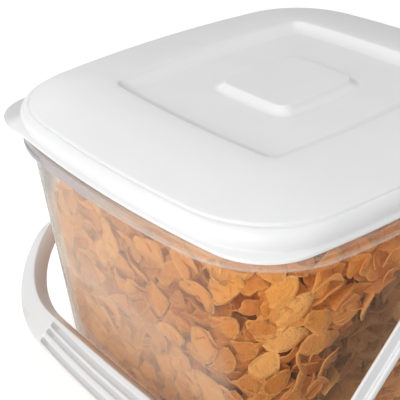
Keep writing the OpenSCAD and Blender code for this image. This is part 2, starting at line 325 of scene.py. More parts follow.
class Nodes:
    """Adds nodes to one tree."""

    def __init__(self, tree):
        self.tree = tree
        self.count = 0

    def make(self, kind, settings=None, inputs=None):
        """One node of this type: its settings first, then the values or links of its sockets."""
        node = self.tree.nodes.new(kind)
        self.count += 1
        node.location = (220 * (self.count % 8), -200 * (self.count // 8))
        for name, value in (settings or {}).items():
            setattr(node, name, value)
        for key, value in (inputs or {}).items():
            self.put(node.inputs[key], value)
        return node

    def put(self, socket, value):
        """A value or a link goes into a socket."""
        if isinstance(value, Sock):
            value = value.socket
        if isinstance(value, bpy.types.NodeSocket):
            self.tree.links.new(value, socket)
        elif not hasattr(socket, "default_value"):
            raise ValueError(f"{socket.name} takes only a link")
        elif hasattr(socket.default_value, "__len__") and len(socket.default_value) == 4 and len(value) == 3:
            socket.default_value = (*value, 1)
        else:
            socket.default_value = value


class Sock:
    """A number in a node tree, with the usual operators."""

    def __init__(self, nodes, socket):
        self.nodes, self.socket = nodes, socket

    def _math(self, operation, a, b, clamp=False):
        node = self.nodes.make("ShaderNodeMath", {"operation": operation, "use_clamp": clamp}, {0: a, 1: b})
        return Sock(self.nodes, node.outputs[0])

    def __add__(self, other):
        return self._math("ADD", self, other)

    def __radd__(self, other):
        return self._math("ADD", other, self)

    def __sub__(self, other):
        return self._math("SUBTRACT", self, other)

    def __rsub__(self, other):
        return self._math("SUBTRACT", other, self)

    def __mul__(self, other):
        return self._math("MULTIPLY", self, other)

    def __rmul__(self, other):
        return self._math("MULTIPLY", other, self)

    def __pow__(self, other):
        return self._math("POWER", self, other)

    def __rpow__(self, other):
        return self._math("POWER", other, self)

    def clamped(self):
        """Held between 0 and 1."""
        return self._math("ADD", self, 0.0, clamp=True)

    def steps(self, start, end):
        """0 up to start, 1 past end and smooth between; end may be the smaller one."""
        node = self.nodes.make("ShaderNodeMapRange", {"interpolation_type": "SMOOTHSTEP"},
                               {0: self, 1: start, 2: end})
        return Sock(self.nodes, node.outputs[0])


class Finish(Nodes):
    """A material in the making, with its Principled shader."""

    def __init__(self, name, **constants):
        self.material = bpy.data.materials.new(name)
        self.material.use_nodes = True
        super().__init__(self.material.node_tree)
        self.tree.nodes.clear()
        self.shader = self.make("ShaderNodeBsdfPrincipled", None, constants)
        self.out = self.make("ShaderNodeOutputMaterial", None, {"Surface": self.shader.outputs[0]})
        self.place = Sock(self, self.make("ShaderNodeTexCoord").outputs["Object"])

    def noise(self, scale, detail=2.0, rough=0.5):
        node = self.make("ShaderNodeTexNoise", None,
                         {"Vector": self.place, "Scale": scale, "Detail": detail, "Roughness": rough})
        return Sock(self, node.outputs[0])

    def cells(self, scale):
        """Distance to the nearest of scattered points."""
        node = self.make("ShaderNodeTexVoronoi", None, {"Vector": self.place, "Scale": scale})
        return Sock(self, node.outputs["Distance"])

    def attribute(self, name):
        node = self.make("ShaderNodeAttribute", {"attribute_name": name})
        return Sock(self, node.outputs["Fac"])

    def millimetres(self):
        """The three object coordinates, in millimetres."""
        parts = self.make("ShaderNodeSeparateXYZ", None, {0: self.place}).outputs
        return [Sock(self, part) * 1000 for part in parts]

    def facing(self):
        """0 where the surface faces the view and 1 where it turns away."""
        return Sock(self, self.make("ShaderNodeLayerWeight", None, {"Blend": 0.5}).outputs["Facing"])

    def mixed(self, factor, a, b):
        node = self.make("ShaderNodeMix", {"data_type": "RGBA"}, {0: factor, 6: a, 7: b})
        return Sock(self, node.outputs[2])

    def bump(self, height, strength, distance):
        node = self.make("ShaderNodeBump", None,
                         {"Strength": strength, "Distance": distance, "Height": height})
        self.feed("Normal", node.outputs[0])

    def feed(self, socket, value):
        self.put(self.shader.inputs[socket], value)


def dimmed(colour, share):
    """The colour with only this share of its light."""
    return [c * share for c in colour]


def grey(level):
    return (level, level, level)


def moulded_white(name, colour):
    """Opaque white polypropylene with a fine satin texture from the mould, and painted shade where it is
    marked.
    """
    f = Finish(name, **{"IOR": 1.49, "Specular IOR Level": 0.45})
    cloud = f.noise(22, 3)
    grain = f.noise(1500, 2)
    fine = f.cells(900)
    clouded = f.mixed(cloud.steps(0.3, 0.7), colour, dimmed(colour, 0.975))
    # Painted shade where the mesh marks it: in the handle's grooves and on the lid's peel tab
    f.feed("Base Color", f.mixed(f.attribute("painted_shade"), clouded, dimmed(colour, 0.66)))
    f.feed("Roughness", 0.36 + 0.07 * cloud + 0.06 * grain)
    f.bump(grain * 0.6 + fine * 0.4 + cloud * 1.2, 0.05, 0.0004)
    return f.material


def hazy_clear(name, colour, haze):
    """Natural polypropylene: a warm tint, a milky haze that thickens at a glancing view, and a soft gloss."""
    f = Finish(name, **{"IOR": 1.49, "Specular IOR Level": 0.2})
    cloud = f.noise(9, 2)
    flow = f.noise(60, 2)
    grain = f.noise(1200, 2)
    edge = f.facing()
    x, y, z = f.millimetres()

    # Painted light: the front wall hazier and glossier towards -X and above 111 mm; hazier by the corner at
    # -X
    painted_front_light = y.steps(-105, -125) * (x.steps(95, -40) * (0.05 + 0.045 * z.steps(109, 112))
                                    + x.steps(84, 76) * z.steps(150, 95) * 0.08)
    corner = x.steps(-40, -95) * 0.07
    # Painted shade on the wall above the slope of the cereal, and along the wall's outline at -X
    empty = (z - 1.15 * x).steps(244, 258) * y.steps(30, -60) * x.steps(-40, -70)
    side = x.steps(-60, -92) * y.steps(30, -60) * (edge * 1.25 - 0.05).clamped() ** 2.0
    # The collar: its face and the wall just below, its pale lower edge and the thin line above its lip
    left = x.steps(50, -30)
    collar = z.steps(LIP_Z - 11, LIP_Z - 10.3) * z.steps(SEAT + 0.4, SEAT)
    lip = z.steps(LIP_Z - 3.1, LIP_Z - 2.7) * z.steps(LIP_Z - 0.6, LIP_Z - 1) * (1 - 0.7 * left)
    seam = z.steps(LIP_Z - 0.6, LIP_Z - 0.1) * z.steps(LIP_Z + 1, LIP_Z + 0.5) * left
    # The clearer wall at +X
    right = x.steps(70, 104)

    body_haze = (haze + 0.02 * (flow - 0.5) + 0.02 * (cloud - 0.5)) * (1 - 0.8 * right)
    veil = (body_haze + painted_front_light + corner + 0.1 * empty + 0.35 * side + collar * (0.03 + 0.26 * left)
            + 0.24 * lip + 0.2 * seam + (0.5 - 0.3 * right) * edge ** 4.0)
    tint = f.mixed(cloud.steps(0.35, 0.7), colour, dimmed(colour, 0.93))
    milky = f.mixed(lip, tint, (0.80, 0.72, 0.66))
    milky = f.mixed(collar * left, milky, (0.52, 0.475, 0.46))
    # Painted shade: the haze turns dark grey above the cereal's slope and along the outline at -X
    milky = f.mixed((empty + side * 1.5).clamped() * 0.9, milky, (0.40, 0.37, 0.35))
    f.feed("Base Color", f.mixed(seam * 0.8, milky, (0.37, 0.38, 0.47)))
    f.feed("Roughness", 0.22 + 0.06 * flow + 0.04 * grain)
    f.bump(grain * 0.5 + flow * 1.5, 0.04, 0.0004)

    clear = f.make("ShaderNodeBsdfTransparent", None, {"Color": (0.985, 0.97, 0.955)})
    body = f.make("ShaderNodeMixShader", None,
                  {0: veil.clamped(), 1: clear.outputs[0], 2: f.shader.outputs[0]})
    gloss = f.make("ShaderNodeBsdfGlossy", None, {"Color": (1, 1, 1), "Roughness": 0.12})
    shine = 0.011 - 0.008 * right + 0.25 * painted_front_light + 0.12 * edge ** 5.0
    skin = f.make("ShaderNodeMixShader", None, {0: shine.clamped(), 1: body.outputs[0], 2: gloss.outputs[0]})
    f.put(f.out.inputs["Surface"], skin.outputs[0])
    return f.material


def toasted_flake(name, light, toasted, painted_layer_shade):
    """A corn flake: its own tone, a painted rim highlight and toasted specks; deeper layers get painted
    shade.
    """

    # Painted shade: the deeper layers are copies made darker and browner
    def deeper(colour):
        return [c * painted_layer_shade ** (1 + k) for k, c in enumerate(colour)]

    light, toasted = deeper(light), deeper(toasted)
    dry = [light[0] * 0.95, light[1] * 1.18, light[2] * 2.2]
    painted_rim_highlight = [light[0] * 1.15, light[1] * 1.5, light[2] * 2.6]
    f = Finish(name, **{"IOR": 1.45, "Specular IOR Level": 0.3, "Emission Strength": 1.0})
    tone = f.attribute("tone")
    rim = f.attribute("rim")
    patch = f.noise(150)
    blister = f.noise(420)
    crumb = f.noise(1600, 3, 0.7)
    x, y, z = f.millimetres()

    # Painted shade low down at +X, and a painted shadow in the pocket where the cereal stands off the wall
    low = z.steps(185, 95) * x.steps(20, 100)
    painted_pocket_shadow = (x.steps(58, 90) * y.steps(-76, -52) * y.steps(45, -12) * (166 + 0.6 * y - z).steps(-6, 16)
              * z.steps(15, 80))

    base = f.mixed((tone * 1.15 + patch * 0.6 - 0.38).clamped(), toasted, light)
    # Painted shade low down at +X
    base = f.mixed(low * 0.55, base, dimmed(toasted, 0.55))
    base = f.mixed(blister.steps(0.5, 0.75) * 0.4, base, dimmed(toasted, 0.8))
    base = f.mixed((tone * 6.0 - 4.2).clamped() * 0.6, base, dry)
    # A painted highlight along each flake's rim
    base = f.mixed((rim ** 5.0) * 0.6, base, painted_rim_highlight)
    base = f.mixed(crumb.steps(0.58, 0.75) * 0.25, base, dimmed(toasted, 0.6))
    # Painted shadow in the pocket
    base = f.mixed(painted_pocket_shadow * 0.7, base, dimmed(toasted, 0.2))
    f.feed("Base Color", base)
    # Painted glow: a little light of the flakes' own colour, for light that spreads through the heap
    painted_glow_held_back = 0.86 - 0.07 * x.steps(60, 104) * (1 - painted_pocket_shadow) - 0.06 * x.steps(40, -50)
    f.feed("Emission Color", f.mixed(painted_glow_held_back, base, grey(0)))
    f.feed("Roughness", 0.5 + 0.2 * crumb)
    f.bump(blister * 1.4 + crumb * 0.2 + patch * 1.2, 0.68, 0.0013)
    return f.material


def crumb_bed(name, toasted):
    """The mass of cereal behind the outer flakes: brown crumbs, with painted shade in the gaps."""
    f = Finish(name, **{"IOR": 1.45, "Specular IOR Level": 0.15})
    cell = f.cells(120)
    patch = f.noise(70, 3)
    # Painted shade in the gaps between crumbs
    depth = (cell * 1.6 + patch * 0.5 - 0.3).clamped()
    f.feed("Base Color", f.mixed(depth, toasted, dimmed(toasted, 0.5)))
    f.feed("Roughness", 0.75 + 0.15 * patch)
    f.bump(cell + patch, 0.8, 0.003)
    return f.material


def studio_paper(name):
    """The pale floor, which glows a little and is darker at +X, close to the keeper."""
    f = Finish(name, **{"Specular IOR Level": 0.1, "Emission Strength": 1.0})
    cloud = f.noise(3)
    x, y, _ = f.millimetres()
    distance = (x * x + y * y) ** 0.5
    glow = f.mixed(distance.steps(350, 1300), grey(0.36), grey(0.62))
    shaded = x.steps(-60, 80) * distance.steps(1600, 800)
    f.feed("Emission Color", f.mixed(shaded, glow, grey(0.03)))
    f.feed("Base Color", f.mixed(cloud, grey(0.93), (0.90, 0.90, 0.905)))
    f.feed("Roughness", 0.75 + 0.1 * cloud)
    return f.material


# ---------------------------------------------------------------- lid

# Walls of the boss and the sunk rectangle, steep at the top with a shallow foot: [out, share of height]
BOSS_WALL = ((-6.6, 1), (-4.5, 1), (-3.8, 0.96), (-3.0, 0.72), (-2.1, 0.46), (-1.0, 0.24), (0.2, 0.09),
             (1.4, 0.01), (2.2, -0.02), (3.4, 0))
RECESS_WALL = ((-11.6, 0), (-10.2, -0.01), (-8.8, 0.04), (-7.0, 0.13), (-5.2, 0.26), (-3.6, 0.42),
               (-2.3, 0.60), (-1.2, 0.79), (-0.4, 0.95))
# The skirt from the step at the panel down to its lower edge: [in, corner radius, height, tab share]
SKIRT_OUTSIDE = ((5.7, 56.6, SKIRT_H - 0.2, 0), (5.35, 56.8, SKIRT_H - 0.75, 0), (5.15, 57, SKIRT_H - 1.5, 0),
                 (4.75, 57, SKIRT_H - 1.6, 0), (4.1, 57, SKIRT_H - 1.35, 0), (2.9, 56.4, SKIRT_H - 2, 0),
                 (1.7, 55.4, SKIRT_H - 3.6, 0), (0.95, 54.4, SKIRT_H - 5.6, 0), (0.85, 54.2, 8.2, 0),
                 (1.2, 54, 6.2, 0), (1.75, 53.6, 4.5, 0), (1.95, 52.5, 3.4, 0), (1.4, 47.5, 2.6, 0),
                 (0.5, 42, 2.1, 0), (0, 38.5, 1.7, 1), (0, 38.5, 0.3, 1), (0.3, 38.5, 0, 1))
SKIRT_INSIDE = ((2.6, 51, 0, 0), (2.7, 52.4, 3, 0), (2.9, 53.4, SKIRT_H - 6, 0), (3.9, 55, SKIRT_H - 3.9, 0))
CROWN_STEPS, UNDER_STEPS, UNDER_SHARE = 14, 4, 0.86


def lid_sections():
    """The lid's profile, from the middle of its boss out and down, and back underneath."""
    panel_z = SEAT + SKIRT_H
    top_z = panel_z + CROWN_H
    floor_z = top_z - RECESS_H
    under = floor_z - LID_T
    ceiling = panel_z - CEILING_DROP

    def boss(i, z):
        return [BOSS_X + i, BOSS_Y + i, 10 + i * 0.7, BOW, z, 0, 0]

    def recess(i, z):
        return [RECESS_X + i, RECESS_Y + i, 8.6 + i * 0.4, BOW, z, 0, 0]

    def crown(u, drop):
        """The crowned panel, from u = 0 at the recess to 1 at its edge."""
        x0, y0, rc0 = RECESS_X + RECESS_EDGE, RECESS_Y + RECESS_EDGE, RECESS_EDGE_RC
        x1, y1 = LID_X - PANEL_IN, LID_Y - PANEL_IN
        return [x0 + (x1 - x0) * u, y0 + (y1 - y0) * u, rc0 + (PANEL_RC - rc0) * u, BOW,
                panel_z + CROWN_H * (1 - u ** CROWN_POWER) - drop, 0, 0]

    def skirt(i, rc, z, tab):
        return [LID_X - i, LID_Y - i, rc, BOW, SEAT + z, tab, 0]

    plug_end = PLUG_IN + PLUG_T
    s = [boss(i, floor_z + BOSS_H * rise) for i, rise in BOSS_WALL]
    s += [recess(i, floor_z + RECESS_H * rise) for i, rise in RECESS_WALL]
    s += [crown(j / CROWN_STEPS, 0.1 if j == 0 else 0) for j in range(CROWN_STEPS + 1)]
    s += [skirt(*row) for row in SKIRT_OUTSIDE + SKIRT_INSIDE]
    s += [tub_ring(RIM_IN + 0.6, ceiling), tub_ring(PLUG_IN - 0.3, ceiling),
          tub_ring(PLUG_IN, ceiling - 0.6), tub_ring(PLUG_IN, SEAT + 3.4),
          tub_ring(PLUG_IN + 0.5, SEAT + 2.6), tub_ring(plug_end - 0.3, SEAT + 2.6),
          tub_ring(plug_end, SEAT + 3.2), tub_ring(plug_end, ceiling + 0.2)]
    s += [crown(UNDER_SHARE * j / UNDER_STEPS, LID_T + (0.2 if j == 0 else 0))
          for j in range(UNDER_STEPS, -1, -1)]
    s += [recess(-1.8, top_z - LID_T - 0.9), recess(-4.4, floor_z + RECESS_H * 0.5 - LID_T + 0.2),
          recess(-8.4, under + 0.2), recess(-10.6, under), boss(0.2, under), boss(-1.8, under + 0.4),
          boss(-3.4, under + BOSS_H * 0.62), boss(-5.2, under + BOSS_H - 0.1)]
    return s


class KEEPER_OT_lid(bpy.types.Operator):
    """Make the press-on lid with its peel tab, sunk panel and boss"""
    bl_idname = "keeper.lid"
    bl_label = "Lid"

    def execute(self, context):
        settings = context.scene.keeper_lid
        bm = bmesh.new()
        loft(bm, [section_ring(s) for s in rounded(lid_sections(), settings.fillet)])
        painted_shade = bm.verts.layers.float.new("painted_shade")
        # Painted shade on the lid's peel tab, below its top
        tab_top = SEAT + 3.2
        for v in bm.verts:
            x, y, z = v.co / MM
            if SEAT - 0.1 < z < tab_top:
                at_tab = smooth((-x - 92) / 16) * smooth((-y - 76) / 22)
                v[painted_shade] = 0.8 * at_tab * smooth((tab_top - z) / 0.7)
        new_piece("lid_shell", bm, "lid", ["lid"],
                  moulded_white("lid white", tuple(settings.colour)))
        return {"FINISHED"}


# ---------------------------------------------------------------- tub

def wall_at(z):
    """How far the wall's outer face lies in from the collar at height z."""
    return WALL_IN + (WALL_TOP - z) * DRAFT


def tub_ring(i, z, cut=0):
    """A ring parallel to the collar, i in from it."""
    return [RIM_X - i, RIM_Y - i, RIM_RC - i, RIM_BOW - i, z, 0, cut]


def wall_ring(i, z):
    """A ring of the wall, whose corners are tighter than the collar's."""
    return [RIM_X - i, RIM_Y - i, RIM_RC - WALL_RCD - i, WALL_BOW - i, z, 0, 0]


def tub_sections():
    """The tub's profile: up the inside, over the rim, round the collar, and down the outside."""
    inner, rim_top, shelf = RIM_IN + RIM_T, SEAT + RIM_H, SEAT - SHELF_GAP
    s = [wall_ring(wall_at(z) + WALL_T + extra, z) for z, extra in
         ((FLOOR_T, 8), (FLOOR_T + 0.7, 4), (FLOOR_T + 3, 1.2), (FLOOR_T + 7, 0), (70, 0), (135, 0),
          (SEAT - 4.6, 0))]
    s += [tub_ring(inner, SEAT - 0.6), tub_ring(inner, rim_top - 0.8), tub_ring(inner - 0.8, rim_top),
          tub_ring(RIM_IN + 0.8, rim_top), tub_ring(RIM_IN, rim_top - 0.8), tub_ring(RIM_IN, shelf)]
    s += [tub_ring(0.7, shelf, COLLAR_CUT), tub_ring(0, shelf - 0.7, COLLAR_CUT),
          tub_ring(0, LIP_Z + 0.6, COLLAR_CUT), tub_ring(0, LIP_Z), tub_ring(0, SEAT - COLLAR_H),
          tub_ring(COLLAR_T, SEAT - COLLAR_H), tub_ring(COLLAR_T, WALL_TOP)]
    s += [wall_ring(WALL_IN, WALL_TOP), wall_ring(wall_at(135), 135), wall_ring(wall_at(70), 70)]
    for i in range(FOOT_N, -1, -1):
        t = math.pi / 2 * i / FOOT_N
        s.append(wall_ring(wall_at(FOOT_R) + FOOT_R * (1 - math.sin(t)), FOOT_R * (1 - math.cos(t))))
    return s


class KEEPER_OT_tub(bpy.types.Operator):
    """Make the see-through tub with its rim, collar and handle lugs"""
    bl_idname = "keeper.tub"
    bl_label = "Tub"

    def execute(self, context):
        settings = context.scene.keeper_tub
        bm = bmesh.new()
        loft(bm, [section_ring(s) for s in rounded(tub_sections(), settings.fillet)])
        root, bore, bore_end = RIM_X - wall_at(PIVOT_Z) - 1, PIN_R + PIN_GAP, LUG_X - PIN_LEN - 1
        profile = [(root, 0), (root, LUG_R), (LUG_X - 0.6, LUG_R), (LUG_X, LUG_R - 0.6), (LUG_X, PIN_R + 0.5),
                   (LUG_X - 0.45, bore), (bore_end, bore), (bore_end, 0)]
        for side in (1, -1):
            turned(bm, profile, side)
        new_piece("tub_shell", bm, "tub", ["tub"],
                  hazy_clear("tub haze", tuple(settings.colour), settings.haze))
        return {"FINISHED"}


# ---------------------------------------------------------------- handle

def u_shape(a, y, rc, r, arc_n):
    """Right half of a bowed U, from its end at the pivot to the middle of the grip."""
    cy0, cx = y - r, a - rc
    cy = cy0 + math.sqrt((r - rc) ** 2 - cx * cx)
    t = math.atan2(cy - cy0, cx)
    arm = [(a, v) for v in np.linspace(0, cy, ARM_N, endpoint=False)]
    arc = [(cx + rc * math.cos(s), cy + rc * math.sin(s)) for s in np.linspace(0, t, arc_n, endpoint=False)]
    grip_end = r * math.cos(t)
    xs = sorted(set(np.round(list(np.linspace(grip_end, 0, GRIP_N)) + GROOVE_STOPS, 3)), reverse=True)
    grip = [(x, cy0 + math.sqrt(r * r - x * x)) for x in xs if x <= grip_end]
    return np.array(arm + arc + grip)


# A groove's cross-section: [place as a share of its half width, share of its depth]
GROOVE_PROFILE = ((-1.08, 0), (-0.97, 0.1), (-0.84, 0.7), (-0.66, 1), (0, 1.04), (0.66, 1), (0.84, 0.7),
                  (0.97, 0.1), (1.08, 0))


def handle_section(p, n, w, groove):
    """A cross-section of the handle: [out from the inner edge, depth] points, and the painted shade in its
    grooves.
    """
    flange_z = HANDLE_T - FLANGE_T
    x = abs(p[0])
    on_grip = n[1] > 0.9

    def face(out):
        """Depth of the front face, which rises from the arms' flange to the grip."""
        return flange_z * (1 - smooth((p[1] + out * n[1] - RAMP_0) / (RAMP_1 - RAMP_0)))

    d = HANDLE_T
    s = [(0.7, d), (0.2, d - 0.2), (0, d - 0.7), (0, 0.9), (0.26, 0.26), (0.9, 0)]
    s += [(out, min(z, face(out))) for out, z in ((1.3, 0), (1.82, 0.18), (2.0, 0.7))]
    s += [(2.0, max(0, face(2.0) - 0.9)), (2.26, max(0, face(2.2) - 0.26)), (2.9, face(2.9))]
    marks = []
    # Painted shade in the grooves, deeper towards their ends
    painted_groove_shade = 0.6 + 0.4 * smooth((x - GROOVE_FADE) / GROOVE_FADE_RUN)
    for share, radius, wide in GROOVES:
        end = max(0.0, x - (GROOVE_END - wide)) / wide
        half = wide * math.sqrt(1 - end * end) if end < 1 else 0.0
        cut = groove if on_grip and half > 0.3 else 0.0
        if on_grip:
            centre = (GRIP_IN + GRIP_W * share - radius + math.sqrt(radius ** 2 - x * x) - p[1]) / n[1]
        else:
            centre = 2.9 + (w - 4.2) * share
        half = half if cut else min(0.4, w * 0.04)
        for at, part in GROOVE_PROFILE:
            out = min(max(centre + at * half, 2.95), w - 1.15)
            marks.append((len(s), (cut > 0) * part * painted_groove_shade))
            s.append((out, face(out) + cut * part))
    s += [(w - 1.1, face(w)), (w - 0.32, face(w) + 0.32), (w, face(w) + 1.1), (w, d - 0.7),
          (w - 0.2, d - 0.2), (w - 0.7, d), (w - SHELL_T, d)]
    hollow = smooth((p[1] - RAMP_0 - HOLLOW_0) / HOLLOW_RUN)
    s += [(out, d + (face(out) + FACE_T - d) * hollow) for out in (w - SHELL_T, SHELL_T)]
    return s + [(SHELL_T, d)], marks


def handle_path():
    """The handle's inner edge, and for each point on it the way out and the width there."""
    half = u_shape(ARM_IN, GRIP_IN, INNER_RC, INNER_BOW, INNER_ARC_N)
    path = np.vstack([half, half[-2::-1] * (-1, 1)])
    outer = u_shape(ARM_OUT, HANDLE_LEN, OUTER_RC, GRIP_BOW, OUTER_ARC_N)
    past = (0, 20)
    outer = np.vstack([outer[:1] - past, outer, outer[-2::-1] * (-1, 1), outer[:1] * (-1, 1) - past])
    tangent = np.gradient(path, axis=0)
    tangent /= np.linalg.norm(tangent, axis=1)[:, None]
    normal = np.c_[tangent[:, 1], -tangent[:, 0]]
    for p, n in zip(path, normal):
        # The width is where the line from p along n first crosses the outer edge
        a, b = outer[:-1] - p, outer[1:] - p
        ca, cb = a[:, 0] * n[1] - a[:, 1] * n[0], b[:, 0] * n[1] - b[:, 1] * n[0]
        apart = np.abs(ca - cb) > 1e-9
        q = a + (ca / np.where(apart, ca - cb, 1))[:, None] * (b - a)
        reach = q @ n
        yield p, n, reach[(ca * cb <= 0) & apart & (reach > 0)].min()


class KEEPER_OT_handle(bpy.types.Operator):
    """Make the bail handle with its grooved grip, eyes and pins"""
    bl_idname = "keeper.handle"
    bl_label = "Handle"

    def execute(self, context):
        settings = context.scene.keeper_handle
        swing = Matrix.Rotation(math.pi + HANG, 4, "X")
        rings, marks = [], []
        for p, n, w in handle_path():
            section, spots = handle_section(p, n, w, settings.groove)
            marks += [(len(rings) * len(section) + k, v) for k, v in spots]
            ring = []
            for out, depth in section:
                v = swing @ Vector((p[0] + out * n[0], p[1] + out * n[1], depth - HANDLE_T / 2))
                ring.append((v.x * MM, v.y * MM, (v.z + PIVOT_Z) * MM))
            rings.append(ring)
        bm = bmesh.new()
        painted_shade = bm.verts.layers.float.new("painted_shade")
        loft(bm, rings)
        bm.verts.ensure_lookup_table()
        for k, v in marks:
            bm.verts[k][painted_shade] = v
        eye = LUG_R + 1
        eye_profile = [(ARM_IN, 0), (ARM_IN, eye - 0.5), (ARM_IN + 0.5, eye), (ARM_OUT - 1.0, eye),
                       (ARM_OUT - 0.3, eye - 0.3), (ARM_OUT, eye - 1), (ARM_OUT, 5.2), (ARM_OUT - 0.4, 4.6),
                       (ARM_OUT - 1.1, 4.4), (ARM_OUT - 1.1, 0)]
        tip = LUG_X - PIN_LEN
        pin_profile = [(tip, 0), (tip, PIN_R - 0.8), (tip + 0.8, PIN_R), (ARM_IN + 1, PIN_R), (ARM_IN + 1, 0)]
        for side in (1, -1):
            turned(bm, eye_profile, side)
            turned(bm, pin_profile, side)
        new_piece("bail_handle", bm, "handle", ["handle"],
                  moulded_white("handle white", tuple(settings.colour)))
        return {"FINISHED"}


# ---------------------------------------------------------------- cereal

def fill_top(x, y, level):
    """Height of the cereal, which slopes away towards one corner."""
    drop = 1.15 * max(0.0, -45.0 - x) * smooth((30.0 - y) / 90.0)
    return level - drop + 2.5 * noise.noise(Vector((x / 30, y / 30, 3.0)))


def stand_off(x, y, z):
    """How far the cereal stands off the wall: less in one corner, more where it has not settled."""
    corner = 4.6 * smooth((-x - 55) / 35) * smooth((-y - 75) / 35) * smooth((170 - z) / 25)
    if corner > 0:
        return -corner
    upright = smooth((166 + 0.6 * y - z) / 10) * smooth((z - 20) / 50)
    return 13 * smooth((x - 60) / 30) * smooth((y + 68) / 12) * smooth((30 - y) / 40) * upright


def bed(name, inset, lower, level):
    """A closed solid that follows the inside of the tub, inset from its walls and lowered from the top."""
    bm = bmesh.new()
    rows = []
    for z in [FLOOR_T + 1 + inset * 0.5] + BED_HEIGHTS:
        row = section_ring(wall_ring(wall_at(z) + WALL_T + inset, z))[::2]
        row[:, 2] = [min(z, fill_top(x / MM, y / MM, level) - lower) * MM for x, y, _ in row]
        for p in row:
            p[:2] -= p[:2] / np.linalg.norm(p[:2]) * stand_off(*p / MM) * MM
        rows.append(row)
    edge = rows[-1]
    for share in BED_SHARES:
        row = edge * (share, share, 1)
        row[:, 2] = [(fill_top(x / MM, y / MM, level) - lower) * MM for x, y, _ in row]
        rows.append(row)
    loft(bm, rows)
    bmesh.ops.remove_doubles(bm, verts=bm.verts, dist=1e-5)
    bmesh.ops.recalc_face_normals(bm, faces=bm.faces)
    return in_scene(name, mesh_from(bm, name))


def flake(i, size):
    """One curled flake, thin and closed, with its rim marked."""
    rng = random.Random(FLAKE_SEED + i)
    bm = bmesh.new()
    n = FLAKE_SIDES
    stretch = rng.uniform(1.0, 1.35)

    def ripples(most):
        """Waves round the flake: [how many, height, phase]."""
        return [(k, rng.uniform(0.3, 1.0) * a, rng.uniform(0, 6.28)) for k, a in most]

    waves = ripples(((2, 0.08), (3, 0.08), (4, 0.06), (5, 0.07)))
    lift = ripples(((2, 0.14), (3, 0.14), (4, 0.08)))
    curl, cup = rng.choice((-1, 1)) * rng.uniform(0.1, 0.34), rng.uniform(-0.1, 0.28)

    def point(t, share, drop):
        r = share * (1 + sum(a * math.cos(k * t + q) for k, a, q in waves))
        u, v = r * stretch * math.cos(t), r * math.sin(t) / math.sqrt(stretch)
        w = curl * u * u + cup * v * v + share ** 2 * sum(a * math.cos(k * t + q) for k, a, q in lift)
        return u * size, v * size, (w - drop) * size

    turn = [FULL_TURN * k / n for k in range(n)]
    nibble = [rng.uniform(-0.035, 0.03) for _ in turn]
    edge = [bm.verts.new(point(t, 1.0 + w, 0)) for t, w in zip(turn, nibble)]
    mid = [bm.verts.new(point(t + 0.2, 0.6, rng.uniform(-0.05, 0.03))) for t in turn]
    back = [bm.verts.new(point(t, 0.96 + w, 0.10)) for t, w in zip(turn, nibble)]
    top = bm.verts.new(point(0, 0, rng.uniform(-0.06, 0.06)))
    under = bm.verts.new(point(0, 0, 0.14))
    for k in range(n):
        j = (k + 1) % n
        bm.faces.new((edge[k], edge[j], mid[j], mid[k]))
        bm.faces.new((mid[k], mid[j], top))
        bm.faces.new((edge[j], edge[k], back[k], back[j]))
        bm.faces.new((back[j], back[k], under))
    mesh = mesh_from(bm, f"flake_{i}")
    shade_smooth(mesh)
    rim = mesh.attributes.new("rim", "FLOAT", "POINT")
    rim.data.foreach_set("value", [1.0] * n + [0.3] * n + [0.9] * n + [0.0, 0.0])
    return bpy.data.objects.new(f"flake_{i}", mesh)


